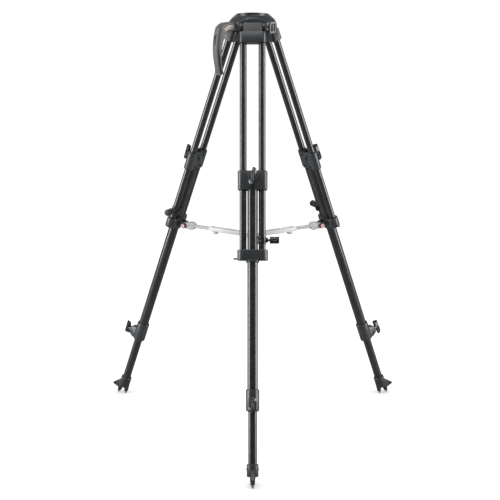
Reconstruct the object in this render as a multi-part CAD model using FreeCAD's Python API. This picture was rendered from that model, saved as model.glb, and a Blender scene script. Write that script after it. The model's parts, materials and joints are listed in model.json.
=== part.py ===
import FreeCAD, Part
import math
import os

from FreeCAD import Placement, Rotation, Vector

# Two-stage tripod with a 75 mm levelling bowl, a carry handle and a mid-level spreader.
# Millimetres. The origin is on the floor, straight under the bowl; +Z is up and the front leg points to -Y.

# ---------------------------------------------------------------- driving dimensions
LEG_AZIMUTHS = {"front": 0.0, "right": 120.0, "left": 240.0}
LEG_ANGLE = 20.0            # each leg's tilt from the vertical when the tripod stands open
HINGE_HEIGHT = 993.0        # leg hinge axis above the floor
HINGE_RADIUS = 39.0         # leg hinge axis from the centre line

SLIDE_GAP = 0.3             # between curved faces that slide on each other
HINGE_GAP = 0.05            # radial running clearance of a hinge pin
SIDE_GAP = 0.3              # between the flat sides of a tongue and its fork

# bowl and crown
BALL_RADIUS = 37.5
BALL_RISE = 8.0             # ball centre above the rim
RIM_HEIGHT = 1018.0
RIM_RADIUS = 39.0
LINER_DEPTH = 13.0
LINER_WALL = 2.0            # wall of the liner at its rim
CROWN_RADIUS = 55.0
CROWN_SHOULDER = 1003.0     # height where the cone meets the side wall
CROWN_BOTTOM = 982.5
CROWN_CHAMFER = 4.0
CROWN_FLAT = 44.0           # radius of the flat above each leg
PAD_FLAT = 52.0             # radius of the two flats between the legs
TIE_HOLE_RADIUS = 24.0
EAR_RADIUS = 10.0

# leg hinge
KNUCKLE_RADIUS = 9.5
KNUCKLE_WIDTH = 43.4
HINGE_PIN_RADIUS = 4.0
HINGE_PIN_LENGTH = 70.0
SLOT_SLACK = 1.0            # room around the knuckle in the crown

# leg shoulder, the block under the hinge
SHOULDER_TOP = 13.0
SHOULDER_BOTTOM = 39.0
SHOULDER_WIDTH = 61.5
SHOULDER_THICK = 27.0
SHOULDER_EDGE = 8.0

# tubes: distances along a leg are counted down from its hinge
TUBE_SPACING = 43.7
UPPER_TUBE_R = 8.0
UPPER_TUBE_WALL = 1.2
UPPER_TUBE_TOP = 18.0
MID_TUBE_R = 12.0
MID_TUBE_WALL = 1.4
MID_TUBE_LENGTH = 504.0
LOWER_TUBE_R = 10.0
LOWER_TUBE_WALL = 1.2
LOWER_TUBE_LENGTH = 552.0

# slider block, the upper clamp that rides on the tube pair
SLIDER_TOP = 337.0
SLIDER_HEIGHT = 44.0
SLIDER_WALL = 4.5
SLIDER_HALF_DEPTH = 11.0
SLIDER_KNOB_DROP = 15.0     # knob axis below the block's top
SLIDER_SEAT_DROP = 21.0     # top of the middle tube below the block's top
SLIDER_SADDLE = 6.0

# yoke, the casting at the foot of the tube pair
YOKE_TOP = 519.0
YOKE_HEIGHT = 25.0
YOKE_WALL = 5.3
YOKE_HALF_DEPTH = 13.0
YOKE_FLOOR = 3.0            # metal under the tube pair
YOKE_COLLAR = 4.0           # guide collar under the yoke
YOKE_COLLAR_WALL = 3.2
PEG_RADIUS = 1.9
PEG_REACH = 9.0

# lower clamp
LOWER_CLAMP_TOP = 838.5
LOWER_CLAMP_HEIGHT = 48.5
LOWER_CLAMP_R = 15.25
LOWER_CLAMP_SEAT = 23.5     # length glued on the middle tube
LOWER_KNOB_DROP = 33.5
CLAMP_BOSS_WIDTH = 17.0
CLAMP_BOSS_REACH = 29.0

# foot
FOOT_TOP = 1006.0
FOOT_HEIGHT = 29.0
FOOT_R = 13.35
FOOT_SOCKET = 24.0
SPIKE_SPREAD = 11.5         # each spike's tip from the leg's axis on the floor
SPIKE_R = 4.2
SPIKE_LENGTH = 17.0
SPIKE_TIP_R = 1.2
SPIKE_SPLAY = math.degrees(math.atan(0.12))   # each spike's lean away from the leg's axis
TREAD_REACH = 32.0
TREAD_WIDTH = 9.0

# wing knobs: blade length, thickness and the stud behind them
UPPER_BLADE = 41.0
LOWER_BLADE = 36.0
BLADE_THICK = 10.5
BLADE_HALF_WIDTH = 4.6
BLADE_SWEEP = 4.2           # sideways offset of each wing
KNOB_HUB_R = 7.0
KNOB_HUB_HEIGHT = 6.0
KNOB_SEAT_GAP = 0.6         # between the hub and the boss it turns on
STUD_R = 3.5
BOSS_R = 8.5
BOSS_HEIGHT = 5.0

# small clamp on one tube above the yoke, with its thumb knob
BAND_TOP = 488.0
BAND_HEIGHT = 18.0
THUMB_R = 8.0
THUMB_LENGTH = 22.0
THUMB_NECK_R = 2.6
THUMB_NECK = 4.0
THUMB_FLUTES = 8

# carry handle, on the pad between the front and the left leg
HANDLE_AZIMUTH = -60.0
HANDLE_WIDTH = 24.0
GRIP_DEPTH = 6.2
PANEL_DEPTH = 1.6

# accessory plate, on the pad between the front and the right leg
PLATE_AZIMUTH = 60.0
PLATE_WIDTH = 30.0
PLATE_HEIGHT = 26.0
PLATE_THICK = 4.0
PLATE_CORNER = 7.0
KEY_WIDTH = 8.5
KEY_HEIGHT = 17.0
KEY_DEPTH = 2.6
KEY_BAR = 4.0

# spreader
ARM_PIVOT_DROP = 531.0      # arm pivot along the leg
ARM_PIVOT_INSET = 28.0      # arm pivot inside the leg's axis
ARM_PIN_R = 3.0
ARM_CHEEK_GAP = 15.4
ARM_CHEEK_THICK = 4.0
HUB_PIVOT_RADIUS = 28.0
HUB_TONGUE = 5.0            # thickness of the hub's three tongues
HUB_DISC_RADIUS = 13.0
HUB_DROP = 8.0              # underside of the hub below the arm pivots
HUB_EYE_R = 3.0
RIVET_R = 1.6
FORK_GAP = 6.0              # slot in an arm that a hub tongue swings in
FORK_WIDTH = 12.0
FORK_EYE_R = 3.5
FORK_SLOT = 50.0            # slot length from the hub pivot
RAIL_WIDTH = 17.0
RAIL_HEIGHT = 10.0
RAIL_START = 4.0            # from the hub pivot
RAIL_HOLLOW_START = 10.0
RAIL_END = 92.0
BAR_WIDTH = 12.0
BAR_HEIGHT = 6.0
BAR_START = 52.0            # from the hub pivot
BAR_SLOT = 34.0
ARM_KNOB_R = 8.0
ARM_KNOB_HEIGHT = 6.0
FITTING_LENGTH = 31.0
FITTING_HEIGHT = 20.0

# ---------------------------------------------------------------- places worked out from them
LEG_TILT = math.radians(LEG_ANGLE)
LEG_LENGTH = HINGE_HEIGHT / math.cos(LEG_TILT)
HALF_SPACING = TUBE_SPACING / 2
BAND_R = HALF_SPACING - MID_TUBE_R - SLIDE_GAP    # the band just clears the middle tube
BAND_BOSS_REACH = BAND_R + 3.7
BALL_HEIGHT = RIM_HEIGHT + BALL_RISE
LINER_RADIUS = RIM_RADIUS - 0.4
LINER_BOTTOM = RIM_HEIGHT - LINER_DEPTH
SLOT_RADIUS = KNUCKLE_RADIUS + SLOT_SLACK
SLIDER_BOTTOM = SLIDER_TOP + SLIDER_HEIGHT
MID_TUBE_TOP = SLIDER_TOP + SLIDER_SEAT_DROP
YOKE_BOTTOM = YOKE_TOP + YOKE_HEIGHT
LOWER_TUBE_BOTTOM = FOOT_TOP + FOOT_SOCKET
LOWER_TUBE_TOP = LOWER_TUBE_BOTTOM - LOWER_TUBE_LENGTH
ARM_RADIUS = (HINGE_RADIUS + ARM_PIVOT_DROP * math.sin(LEG_TILT)
              - ARM_PIVOT_INSET * math.cos(LEG_TILT))
ARM_HEIGHT = (HINGE_HEIGHT - ARM_PIVOT_DROP * math.cos(LEG_TILT)
              - ARM_PIVOT_INSET * math.sin(LEG_TILT))
ARM_SPAN = ARM_RADIUS - HUB_PIVOT_RADIUS

AXIS_X = Vector(1, 0, 0)
AXIS_Y = Vector(0, 1, 0)
AXIS_Z = Vector(0, 0, 1)


# ---------------------------------------------------------------- helpers
def box(x0, x1, y0, y1, z0, z1):
    return Part.makeBox(x1 - x0, y1 - y0, z1 - z0, Vector(x0, y0, z0))


def rod(radius, start, end):
    """A cylinder from one point to another."""
    start = Vector(*start)
    axis = Vector(*end) - start
    return Part.makeCylinder(radius, axis.Length, start, axis)


def tube(radius, wall, top, bottom, x=0.0):
    """A tube along the leg, between two distances from the hinge."""
    outer = rod(radius, (x, 0, -bottom), (x, 0, -top))
    return outer.cut(rod(radius - wall, (x, 0, -bottom - 1), (x, 0, -top + 1)))


def fused(shapes):
    """One clean solid from several."""
    whole = shapes[0].multiFuse(shapes[1:]) if len(shapes) > 1 else shapes[0]
    whole = whole.removeSplitter()
    return whole.Solids[0] if len(whole.Solids) == 1 else whole


def extruded(edges, offset, axis, depth):
    """A closed outline of edges, moved by offset and pushed along axis."""
    face = Part.Face(Part.Wire(edges))
    face.translate(offset)
    return face.extrude(axis * depth)


def polygon(points):
    points = [Vector(*p) for p in points]
    return [Part.LineSegment(a, b).toShape() for a, b in zip(points, points[1:] + points[:1])]


def line(a, b):
    return Part.LineSegment(Vector(*a), Vector(*b)).toShape()


def arc(a, b, c):
    return Part.Arc(Vector(*a), Vector(*b), Vector(*c)).toShape()


def stadium(half_spacing, wall_x, half_depth, top, bottom):
    """A block round the tube pair: flat front and back, elliptical ends."""
    end = half_spacing + UPPER_TUBE_R + wall_x
    flat = end - half_depth
    edges = [line((-flat, -half_depth, 0), (flat, -half_depth, 0)),
             arc((flat, -half_depth, 0), (end, 0, 0), (flat, half_depth, 0)),
             line((flat, half_depth, 0), (-flat, half_depth, 0)),
             arc((-flat, half_depth, 0), (-end, 0, 0), (-flat, -half_depth, 0))]
    block = extruded(edges, Vector(0, 0, -bottom), AXIS_Z, bottom - top)
    rims = [e for e in block.Edges if abs(e.Vertexes[0].Z - e.Vertexes[-1].Z) < 1e-6]
    return block.makeChamfer(1.0, rims)


def on_leg(shape, azimuth):
    """From the leg's own frame, hinge at the origin and leg straight down, to its place."""
    placed = shape.copy()
    tilt = Placement(Vector(0, -HINGE_RADIUS, HINGE_HEIGHT), Rotation(AXIS_X, -LEG_ANGLE))
    turn = Placement(Vector(0, 0, 0), Rotation(AXIS_Z, azimuth))
    placed.Placement = turn.multiply(tilt).multiply(placed.Placement)
    return placed


def turned(shape, azimuth):
    placed = shape.copy()
    placed.Placement = Placement(Vector(0, 0, 0), Rotation(AXIS_Z, azimuth)).multiply(placed.Placement)
    return placed


# ---------------------------------------------------------------- crown
def hinge_slot():
    """Room for a leg's knuckle in the crown, in the frame of the front leg."""
    half = KNUCKLE_WIDTH / 2 + SIDE_GAP
    y, z = -HINGE_RADIUS, HINGE_HEIGHT
    round_end = rod(SLOT_RADIUS, (-half, y, z), (half, y, z))
    way_out = box(-half, half, y - 30, y, z - 30, z + SLOT_RADIUS)
    way_down = box(-half, half, y - 30, y + SLOT_RADIUS, z - 30, z)
    return fused([round_end, way_out, way_down])


def crown():
    profile = [(TIE_HOLE_RADIUS, 0, CROWN_BOTTOM), (CROWN_RADIUS - CROWN_CHAMFER, 0, CROWN_BOTTOM),
               (CROWN_RADIUS, 0, CROWN_BOTTOM + CROWN_CHAMFER), (CROWN_RADIUS, 0, CROWN_SHOULDER),
               (RIM_RADIUS, 0, RIM_HEIGHT - 0.4), (LINER_RADIUS, 0, RIM_HEIGHT - 0.4),
               (LINER_RADIUS, 0, LINER_BOTTOM), (TIE_HOLE_RADIUS, 0, LINER_BOTTOM)]
    body = Part.Face(Part.Wire(polygon(profile))).revolve(Vector(0, 0, 0), AXIS_Z, 360)
    body = Part.Solid(body.Shells[0]) if body.ShapeType != "Solid" else body
    ear_in = KNUCKLE_WIDTH / 2 + SIDE_GAP
    ear_out = SHOULDER_WIDTH / 2
    for azimuth in LEG_AZIMUTHS.values():
        body = body.cut(turned(box(-70, 70, -90, -CROWN_FLAT, 900, 1100), azimuth))
    for azimuth in LEG_AZIMUTHS.values():
        ears = [rod(EAR_RADIUS, (s * ear_in, -HINGE_RADIUS, HINGE_HEIGHT),
                    (s * ear_out, -HINGE_RADIUS, HINGE_HEIGHT)) for s in (-1, 1)]
        body = body.fuse([turned(e, azimuth) for e in ears])
    for azimuth in LEG_AZIMUTHS.values():
        pin_way = rod(HINGE_PIN_RADIUS, (-60, -HINGE_RADIUS, HINGE_HEIGHT),
                      (60, -HINGE_RADIUS, HINGE_HEIGHT))
        body = body.cut([turned(hinge_slot(), azimuth), turned(pin_way, azimuth)])
    for azimuth in (HANDLE_AZIMUTH, PLATE_AZIMUTH):
        body = body.cut(turned(box(-40, 40, -90, -PAD_FLAT, 900, 1100), azimuth))
    for x in (-handle_screw_x(), handle_screw_x()):
        hole = rod(SCREW_R, (x, -PAD_FLAT - 1, handle_screw_z()), (x, -PAD_FLAT + 9, handle_screw_z()))
        body = body.cut(turned(hole, HANDLE_AZIMUTH))
    return fused([body])


def bowl_liner():
    ring = rod(LINER_RADIUS, (0, 0, LINER_BOTTOM), (0, 0, RIM_HEIGHT))
    return ring.cut(Part.makeSphere(BALL_RADIUS, Vector(0, 0, BALL_HEIGHT)))


def hinge_pins():
    half = HINGE_PIN_LENGTH / 2
    pin = rod(HINGE_PIN_RADIUS, (-half, -HINGE_RADIUS, HINGE_HEIGHT), (half, -HINGE_RADIUS, HINGE_HEIGHT))
    return Part.makeCompound([turned(pin, a) for a in LEG_AZIMUTHS.values()])


def accessory_plate():
    """Plate with two blind key slots and a bar between them."""
    z = CROWN_SHOULDER - PLATE_HEIGHT / 2
    half = PLATE_WIDTH / 2
    face = -PAD_FLAT - PLATE_THICK
    plate = box(-half, half, face, -PAD_FLAT, z - PLATE_HEIGHT / 2, z + PLATE_HEIGHT / 2)
    corners = [e for e in plate.Edges if abs(e.Vertexes[0].Y - e.Vertexes[-1].Y) > 1]
    plate = plate.makeFillet(PLATE_CORNER, corners)
    for side in (-1, 1):
        near, far = sorted((side * KEY_BAR / 2, side * (KEY_BAR / 2 + KEY_WIDTH)))
        slot = box(near, far, face - 1, face + KEY_DEPTH, z - KEY_HEIGHT / 2, z + KEY_HEIGHT / 2)
        plate = plate.cut(slot)
    return turned(fused([plate]), PLATE_AZIMUTH)


# ---------------------------------------------------------------- carry handle
# The handle's side view: distance out from the centre line, and height.
ROOT = PAD_FLAT
HANDLE_TOP = CROWN_SHOULDER - 0.5
HANDLE_FOOT = 883.5
SCREW_R = 2.5


def handle_screw_x():
    return HANDLE_WIDTH / 2 - 6.0


def handle_screw_z():
    return HANDLE_TOP - 9.0


def side_view(points):
    return [(0, -r, z) for r, z in points]


def handle_outer():
    """Back of the hand grip: the crest of the bend, the belly and the toe."""
    return side_view([(95.5, HANDLE_TOP - 12.5), (102.3, 940.0), (94.0, HANDLE_FOOT + 4.5)])


def grip_seam():
    return side_view([(95.5 - GRIP_DEPTH, HANDLE_TOP - 8.0), (102.3 - GRIP_DEPTH, 940.0),
                      (94.0 - GRIP_DEPTH + 0.6, HANDLE_FOOT + 0.7)])


def handle_frame():
    seam = grip_seam()
    root_top, crest = side_view([(ROOT, HANDLE_TOP), (77.0, HANDLE_TOP - 1.5)])
    toe_in, inner, bend = side_view([(84.5, HANDLE_FOOT + 5.0), (89.5, 925.0), (80.5, 973.0)])
    bend_mid, root_in, root_low = side_view([(76.0, 980.5), (67.0, 983.0), (ROOT, CROWN_BOTTOM + 1.0)])
    crest_mid = side_view([(84.0, HANDLE_TOP - 3.6)])[0]
    toe_mid = side_view([(86.0, HANDLE_FOOT + 1.2)])[0]
    edges = [line(root_top, crest), arc(crest, crest_mid, seam[0]), arc(*seam),
             arc(seam[2], toe_mid, toe_in), arc(toe_in, inner, bend), arc(bend, bend_mid, root_in),
             line(root_in, root_low), line(root_low, root_top)]
    frame = extruded(edges, Vector(-HANDLE_WIDTH / 2, 0, 0), AXIS_X, HANDLE_WIDTH)
    for side in (-1, 1):
        frame = frame.cut(panel(side))
    for x in (-handle_screw_x(), handle_screw_x()):
        frame = frame.cut(rod(SCREW_R, (x, -ROOT + 1, handle_screw_z()), (x, -110, handle_screw_z())))
        frame = frame.cut(rod(SCREW_R + 2.0, (x, -ROOT - 8, handle_screw_z()), (x, -110, handle_screw_z())))
    return turned(fused([frame]), HANDLE_AZIMUTH)


def handle_grip():
    outer = handle_outer()
    seam = grip_seam()
    nose = side_view([(93.2, HANDLE_TOP - 9.6)])[0]
    toe = side_view([(91.4, HANDLE_FOOT + 0.9)])[0]
    edges = [arc(*outer), arc(outer[2], toe, seam[2]), arc(seam[2], seam[1], seam[0]),
             arc(seam[0], nose, outer[0])]
    grip = extruded(edges, Vector(-HANDLE_WIDTH / 2, 0, 0), AXIS_X, HANDLE_WIDTH)
    ridge = [e for e in grip.Edges if e.CenterOfMass.y < -97.5 and abs(e.CenterOfMass.x) > 1]
    return turned(grip.makeChamfer(3.0, ridge), HANDLE_AZIMUTH)


def panel(side):
    """Light insert on one side of the handle's root."""
    points = side_view([(ROOT + 5, HANDLE_TOP - 4.0), (73.0, HANDLE_TOP - 5.0), (83.0, HANDLE_TOP - 12.5),
                        (79.0, HANDLE_TOP - 19.5), (70.0, HANDLE_TOP - 15.5), (ROOT + 5, HANDLE_TOP - 15.0)])
    start = side * (HANDLE_WIDTH / 2 - PANEL_DEPTH) if side > 0 else -HANDLE_WIDTH / 2
    return extruded(polygon(points), Vector(start, 0, 0), AXIS_X, PANEL_DEPTH)


def handle_panels():
    return Part.makeCompound([turned(panel(side), HANDLE_AZIMUTH) for side in (-1, 1)])


def handle_screws():
    screws = []
    for x in (-handle_screw_x(), handle_screw_x()):
        z = handle_screw_z()
        shank = rod(SCREW_R, (x, -PAD_FLAT + 8.5, z), (x, -ROOT - 8, z))
        head = rod(SCREW_R + 1.8, (x, -ROOT - 8, z), (x, -ROOT - 12, z))
        screws.append(turned(fused([shank, head]), HANDLE_AZIMUTH))
    return Part.makeCompound(screws)


# ---------------------------------------------------------------- leg, in its own frame
def pair_holes(radius, top, bottom):
    return [rod(radius, (s * HALF_SPACING, 0, -bottom), (s * HALF_SPACING, 0, -top)) for s in (-1, 1)]


def leg_shoulder():
    half = SHOULDER_WIDTH / 2
    half_thick = SHOULDER_THICK / 2
    block = box(-half, half, -half_thick, half_thick, -SHOULDER_BOTTOM, -SHOULDER_TOP)
    corners = [e for e in block.Edges if abs(e.Vertexes[0].Z - e.Vertexes[-1].Z) > 1]
    block = block.makeFillet(SHOULDER_EDGE, corners)
    rims = [e for e in block.Edges if abs(e.Vertexes[0].Z - e.Vertexes[-1].Z) < 1e-6
            and e.CenterOfMass.z < -SHOULDER_BOTTOM + 1]
    block = block.makeChamfer(1.2, rims)
    width = KNUCKLE_WIDTH / 2
    knuckle = rod(KNUCKLE_RADIUS, (-width, 0, 0), (width, 0, 0))
    neck = box(-width, width, -KNUCKLE_RADIUS, KNUCKLE_RADIUS, -SHOULDER_TOP - 1, 0)
    whole = fused([block, knuckle, neck])
    bore = rod(HINGE_PIN_RADIUS + HINGE_GAP, (-width - 1, 0, 0), (width + 1, 0, 0))
    return fused([whole.cut([bore] + pair_holes(UPPER_TUBE_R, UPPER_TUBE_TOP, SHOULDER_BOTTOM + 1))])


def upper_tubes():
    bottom = YOKE_BOTTOM - YOKE_FLOOR
    return Part.makeCompound([tube(UPPER_TUBE_R, UPPER_TUBE_WALL, UPPER_TUBE_TOP, bottom, s * HALF_SPACING)
                              for s in (-1, 1)])


def leg_yoke():
    block = stadium(HALF_SPACING, YOKE_WALL, YOKE_HALF_DEPTH, YOKE_TOP, YOKE_BOTTOM)
    collar = rod(MID_TUBE_R + YOKE_COLLAR_WALL, (0, 0, -YOKE_BOTTOM - YOKE_COLLAR), (0, 0, -YOKE_BOTTOM + 2))
    pieces = [block, collar]
    inner = ARM_CHEEK_GAP / 2
    eye_r = ARM_PIN_R + 4.0
    for side in (-1, 1):
        x0, x1 = sorted((side * inner, side * (inner + ARM_CHEEK_THICK)))
        cheek = box(x0, x1, YOKE_HALF_DEPTH - 2, ARM_PIVOT_INSET, -ARM_PIVOT_DROP - eye_r,
                    -ARM_PIVOT_DROP + eye_r)
        eye = rod(eye_r, (x0, ARM_PIVOT_INSET, -ARM_PIVOT_DROP), (x1, ARM_PIVOT_INSET, -ARM_PIVOT_DROP))
        pieces += [cheek, eye]
    end = HALF_SPACING + UPPER_TUBE_R + YOKE_WALL
    pieces.append(rod(PEG_RADIUS, (-end + 3, 0, -YOKE_BOTTOM + 4), (-end - PEG_REACH, 0, -YOKE_BOTTOM + 4)))
    pin_way = rod(ARM_PIN_R, (-30, ARM_PIVOT_INSET, -ARM_PIVOT_DROP), (30, ARM_PIVOT_INSET, -ARM_PIVOT_DROP))
    mid_way = rod(MID_TUBE_R + SLIDE_GAP, (0, 0, -YOKE_BOTTOM - YOKE_COLLAR - 1), (0, 0, -YOKE_TOP + 1))
    ways = [pin_way, mid_way] + pair_holes(UPPER_TUBE_R, YOKE_TOP - 1, YOKE_BOTTOM - YOKE_FLOOR)
    return fused([fused(pieces).cut(ways)])


def spreader_pin():
    """Cross pin with two round heads, which an arm turns on."""
    half = ARM_CHEEK_GAP / 2 + ARM_CHEEK_THICK
    y, z = ARM_PIVOT_INSET, -ARM_PIVOT_DROP
    heads = [rod(ARM_PIN_R + 2.2, (s * half, y, z), (s * (half + 2.5), y, z)) for s in (-1, 1)]
    return fused([rod(ARM_PIN_R, (-half, y, z), (half, y, z))] + heads)


def tube_band():
    """Split clamp round one tube of the pair, with a boss for the thumb knob."""
    x = HALF_SPACING
    band = rod(BAND_R, (x, 0, -BAND_TOP - BAND_HEIGHT), (x, 0, -BAND_TOP))
    boss = rod(THUMB_NECK_R + 3.0, (x, 0, band_axis()), (x + BAND_BOSS_REACH, 0, band_axis()))
    lug = box(x - 4, x + 4, 5, BAND_R + 4, -BAND_TOP - BAND_HEIGHT + 2, -BAND_TOP - 2)
    groove = rod(BAND_R + 1, (x, 0, band_axis() - 1), (x, 0, band_axis() + 1))
    groove = groove.cut(rod(BAND_R - 0.6, (x, 0, band_axis() - 2), (x, 0, band_axis() + 2)))
    groove = groove.cut(box(x + 4, x + 30, -30, 30, band_axis() - 3, band_axis() + 3))
    whole = fused([band, boss, lug]).cut(groove)
    bore = rod(UPPER_TUBE_R, (x, 0, -BAND_TOP - BAND_HEIGHT - 1), (x, 0, -BAND_TOP + 1))
    screw_way = rod(THUMB_NECK_R + SLIDE_GAP, (x + UPPER_TUBE_R - 1, 0, band_axis()),
                    (x + BAND_BOSS_REACH + 1, 0, band_axis()))
    return fused([whole.cut([bore, screw_way])])


def band_axis():
    return -BAND_TOP - BAND_HEIGHT / 2


def thumb_knob():
    """Fluted barrel on a thin neck that screws into the band."""
    z = band_axis()
    seat = HALF_SPACING + BAND_BOSS_REACH
    start = seat + THUMB_NECK
    end = start + THUMB_LENGTH
    barrel = rod(THUMB_R, (start, 0, z), (end, 0, z))
    rims = [e for e in barrel.Edges if len(e.Vertexes) == 1]
    barrel = barrel.makeFillet(2.5, rims)
    for i in range(THUMB_FLUTES):
        a = 2 * math.pi * i / THUMB_FLUTES
        y, dz = (THUMB_R + 1.2) * math.cos(a), (THUMB_R + 1.2) * math.sin(a)
        barrel = barrel.cut(rod(2.2, (start + 3, y, z + dz), (end - 5, y, z + dz)))
    neck = rod(THUMB_NECK_R, (HALF_SPACING + UPPER_TUBE_R + 0.5, 0, z), (start + 1, 0, z))
    return fused([barrel, neck])


def slider_block():
    block = stadium(HALF_SPACING, SLIDER_WALL, SLIDER_HALF_DEPTH, SLIDER_TOP, SLIDER_BOTTOM)
    z = -SLIDER_TOP - SLIDER_KNOB_DROP
    boss = rod(BOSS_R, (0, -SLIDER_HALF_DEPTH - BOSS_HEIGHT, z), (0, 0, z))
    nut_boss = rod(BOSS_R - 1.5, (0, 0, z), (0, SLIDER_HALF_DEPTH + 3.5, z))
    whole = fused([block, boss, nut_boss])
    half = HALF_SPACING - UPPER_TUBE_R - 1.5
    saddle = box(-half, half, -SLIDER_HALF_DEPTH + 4, SLIDER_HALF_DEPTH - 4,
                 -SLIDER_TOP - SLIDER_SADDLE, -SLIDER_TOP + 1)
    stud_way = rod(STUD_R + SLIDE_GAP, (0, -40, z), (0, SLIDER_HALF_DEPTH + 1, z))
    seat = rod(MID_TUBE_R, (0, 0, -SLIDER_BOTTOM - 1), (0, 0, -MID_TUBE_TOP))
    ways = [saddle, stud_way, seat]
    ways += pair_holes(UPPER_TUBE_R + SLIDE_GAP, SLIDER_TOP - 1, SLIDER_BOTTOM + 1)
    return fused([whole.cut(ways)])


def mid_tube():
    return tube(MID_TUBE_R, MID_TUBE_WALL, MID_TUBE_TOP, MID_TUBE_TOP + MID_TUBE_LENGTH)


def lower_clamp():
    bottom = LOWER_CLAMP_TOP + LOWER_CLAMP_HEIGHT
    z = -LOWER_CLAMP_TOP - LOWER_KNOB_DROP
    collar = rod(LOWER_CLAMP_R, (0, 0, -bottom), (0, 0, -LOWER_CLAMP_TOP))
    rims = [e for e in collar.Edges if len(e.Vertexes) == 1]
    collar = collar.makeChamfer(1.2, rims)
    half = CLAMP_BOSS_WIDTH / 2
    outline = polygon([(-half, -8, z + 17), (-half, -CLAMP_BOSS_REACH + 3, z + 11),
                       (-half, -CLAMP_BOSS_REACH, z + 8), (-half, -CLAMP_BOSS_REACH, z - 8),
                       (-half, -LOWER_CLAMP_R - 1.5, -bottom + 0.5), (-half, -8, -bottom + 0.5)])
    ear = extruded(outline, Vector(0, 0, 0), AXIS_X, CLAMP_BOSS_WIDTH)
    whole = fused([collar, ear])
    seat = rod(MID_TUBE_R, (0, 0, -LOWER_CLAMP_TOP - LOWER_CLAMP_SEAT), (0, 0, -LOWER_CLAMP_TOP + 1))
    guide = rod(LOWER_TUBE_R + SLIDE_GAP, (0, 0, -bottom - 1), (0, 0, -LOWER_CLAMP_TOP))
    stud_way = rod(STUD_R + SLIDE_GAP, (0, -60, z), (0, -LOWER_TUBE_R, z))
    slit = box(-1, 1, 5, 30, -bottom - 1, -LOWER_CLAMP_TOP - LOWER_CLAMP_SEAT - 2)
    return fused([whole.cut([seat, guide, stud_way, slit])])


def lower_tube():
    return tube(LOWER_TUBE_R, LOWER_TUBE_WALL, LOWER_TUBE_TOP, LOWER_TUBE_BOTTOM)


def wing_knob(blade, seat_y, axis_z, stud_end):
    """Swept two-wing knob; its stud runs inwards to stud_end."""
    base = seat_y - KNOB_SEAT_GAP
    hub_end = base - KNOB_HUB_HEIGHT
    hub = Part.makeCone(KNOB_HUB_R, KNOB_HUB_R - 1.5, KNOB_HUB_HEIGHT, Vector(0, base, axis_z),
                        Vector(0, -1, 0))
    tip = blade / 2
    w, s = BLADE_HALF_WIDTH, BLADE_SWEEP
    y = hub_end
    edges = [arc((-w, y, 0), (-w + 0.6, y, tip * 0.55), (s - 2.0, y, tip)),
             arc((s - 2.0, y, tip), (s + w, y, tip * 0.62), (w, y, 0)),
             arc((w, y, 0), (w - 0.6, y, -tip * 0.55), (2.0 - s, y, -tip)),
             arc((2.0 - s, y, -tip), (-s - w, y, -tip * 0.62), (-w, y, 0))]
    wings = extruded(edges, Vector(0, 0, axis_z), Vector(0, -1, 0), BLADE_THICK)
    rims = [e for e in wings.Edges if abs(e.Vertexes[0].Y - e.Vertexes[-1].Y) < 1e-6]
    wings = wings.makeChamfer(1.0, rims)
    stud = rod(STUD_R, (0, stud_end, axis_z), (0, hub_end, axis_z))
    return fused([hub, wings, stud])


def upper_knob():
    z = -SLIDER_TOP - SLIDER_KNOB_DROP
    return wing_knob(UPPER_BLADE, -SLIDER_HALF_DEPTH - BOSS_HEIGHT, z, SLIDER_HALF_DEPTH - 1)


def lower_knob():
    z = -LOWER_CLAMP_TOP - LOWER_KNOB_DROP
    return wing_knob(LOWER_BLADE, -CLAMP_BOSS_REACH, z, -LOWER_TUBE_R - SLIDE_GAP - 0.5)


def spike_axis(side):
    """Direction of one spike in the leg's frame; side is -1 outside, 1 inside."""
    splay = math.radians(SPIKE_SPLAY)
    return Vector(0, side * math.sin(splay), -math.cos(splay))


def spike_point(side):
    """Centre of one spike's flat tip, lifted so that the tip's rim meets the floor."""
    along = LEG_LENGTH - side * SPIKE_SPREAD * math.sin(LEG_TILT)
    floor_point = Vector(0, side * SPIKE_SPREAD * math.cos(LEG_TILT), -along)
    lean = math.radians(LEG_ANGLE - side * SPIKE_SPLAY)
    return floor_point - spike_axis(side) * SPIKE_TIP_R * math.tan(lean)


def foot():
    bottom = FOOT_TOP + FOOT_HEIGHT
    collar = rod(FOOT_R, (0, 0, -bottom), (0, 0, -FOOT_TOP))
    rims = [e for e in collar.Edges if len(e.Vertexes) == 1 and e.CenterOfMass.z > -FOOT_TOP - 1]
    collar = collar.makeChamfer(1.5, rims)
    pieces = [collar]
    for side in (-1, 1):
        axis = spike_axis(side)
        top = spike_point(side) - axis * (LEG_LENGTH - bottom + 7)
        pieces.append(Part.makeCone(SPIKE_R + 2.6, SPIKE_R + 0.8, (LEG_LENGTH - bottom), top, axis))
    h = TREAD_WIDTH / 2
    tread = polygon([(-h, -8, -FOOT_TOP - 13), (-h, -FOOT_R, -FOOT_TOP - 13), (-h, -TREAD_REACH, -bottom - 6),
                     (-h, -TREAD_REACH + 1.5, -bottom - 9), (-h, -FOOT_R, -bottom - 11),
                     (-h, -8, -bottom - 8)])
    pieces.append(extruded(tread, Vector(0, 0, 0), AXIS_X, TREAD_WIDTH))
    whole = fused(pieces)
    socket = rod(LOWER_TUBE_R, (0, 0, -FOOT_TOP - FOOT_SOCKET), (0, 0, -FOOT_TOP + 1))
    strap_eye = rod(2.2, (-10, -TREAD_REACH + 8, -bottom - 5), (10, -TREAD_REACH + 8, -bottom - 5))
    return fused([whole.cut([socket, strap_eye] + spike_seats())])


def spike_seats():
    seats = []
    for side in (-1, 1):
        start = spike_point(side) - spike_axis(side) * SPIKE_LENGTH
        seats.append(Part.makeCylinder(SPIKE_R, SPIKE_LENGTH, start, spike_axis(side)))
    return seats


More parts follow.
